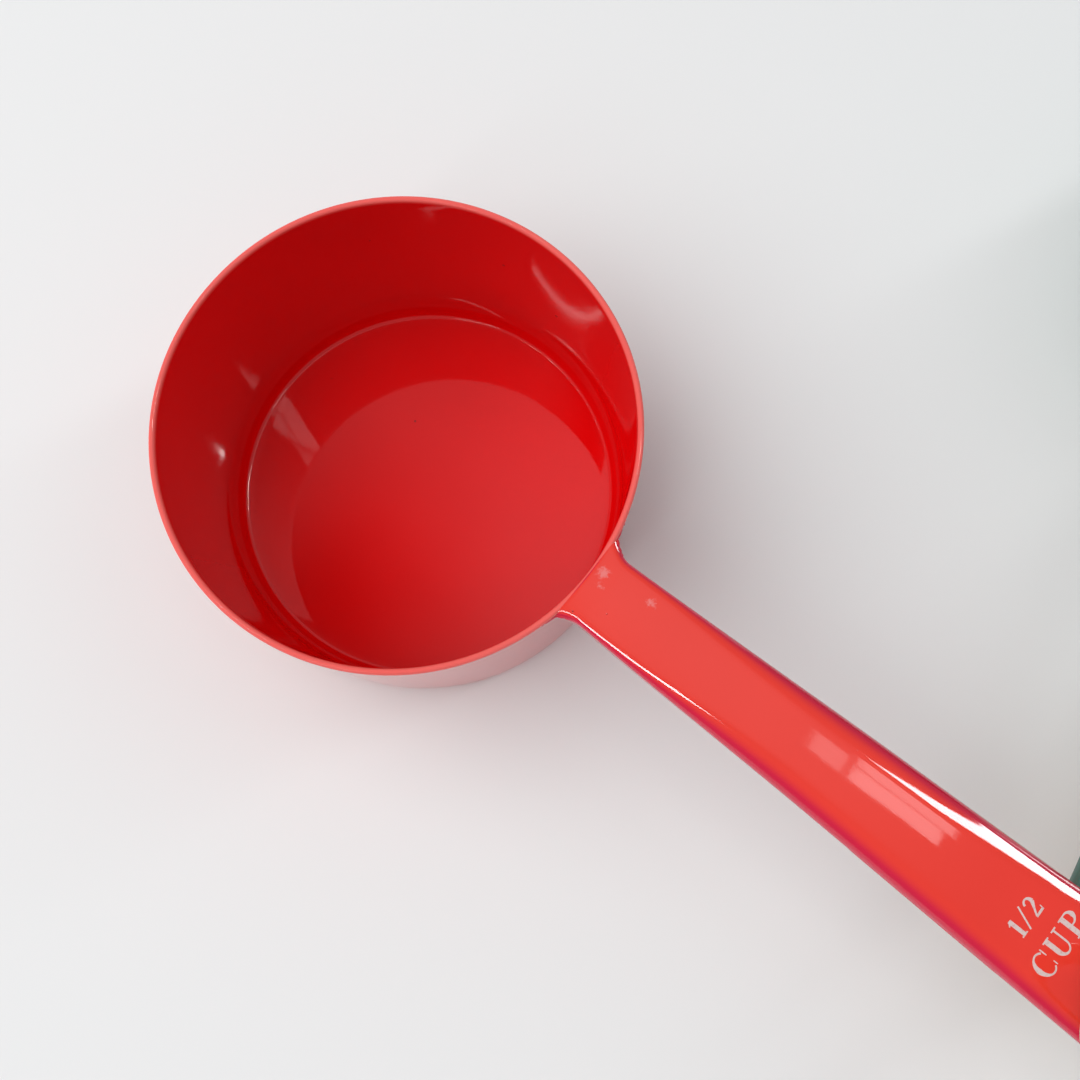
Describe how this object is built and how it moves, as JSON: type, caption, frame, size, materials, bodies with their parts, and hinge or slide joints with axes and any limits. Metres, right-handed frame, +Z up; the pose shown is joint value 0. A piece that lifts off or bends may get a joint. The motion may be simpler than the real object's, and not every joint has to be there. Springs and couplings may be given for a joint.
{
  "type": "measuring cup set",
  "caption": "Enamelled steel measuring cups with straight handles, each handle threaded on one wire ring that the cups fan out from.",
  "frame": {"origin": "centre of the half cup's flat base, on the table", "axes": "+Z up, +X along the half cup's handle from its bowl to the ring, +Y to the left of that handle"},
  "size_m": [0.3013, 0.1764, 0.0571],
  "materials": {
    "red_enamel": "gloss",
    "cream_enamel": "gloss",
    "teal_enamel": "gloss",
    "mustard_enamel": "gloss",
    "ring_steel": "polished"
  },
  "bodies": {
    "half_cup": {"half_cup_bowl": "red_enamel", "half_cup_handle": "red_enamel", "half_cup_handle_weld": "red_enamel"},
    "one_cup": {"one_cup_bowl": "cream_enamel", "one_cup_handle": "cream_enamel", "one_cup_handle_weld": "cream_enamel"},
    "third_cup": {"third_cup_bowl": "teal_enamel", "third_cup_handle": "teal_enamel", "third_cup_handle_weld": "teal_enamel"},
    "quarter_cup": {"quarter_cup_bowl": "mustard_enamel", "quarter_cup_handle": "mustard_enamel", "quarter_cup_handle_weld": "mustard_enamel"},
    "ring": {"set_ring": "ring_steel"}
  },
  "joints": [
    {"name": "ring_swivel", "type": "hinge", "parent": "half_cup", "child": "ring", "pos_m": [0.1132, 0.0002, 0.035], "axis": [0, 0, 1], "range_deg": [-128, 25]},
    {"name": "third_cup_swing", "type": "hinge", "parent": "ring", "child": "third_cup", "pos_m": [0.11379, -0.00011, 0.035], "axis": [0, 0, 1], "range_deg": [-8, 19]},
    {"name": "one_cup_swing", "type": "hinge", "parent": "ring", "child": "one_cup", "pos_m": [0.11671, -0.00167, 0.035], "axis": [0, 0, 1], "range_deg": [-20, 4]},
    {"name": "quarter_cup_swing", "type": "hinge", "parent": "ring", "child": "quarter_cup", "pos_m": [0.11522, -0.00087, 0.035], "axis": [0, 0, 1], "range_deg": [-4, 7.5]}
  ]
}
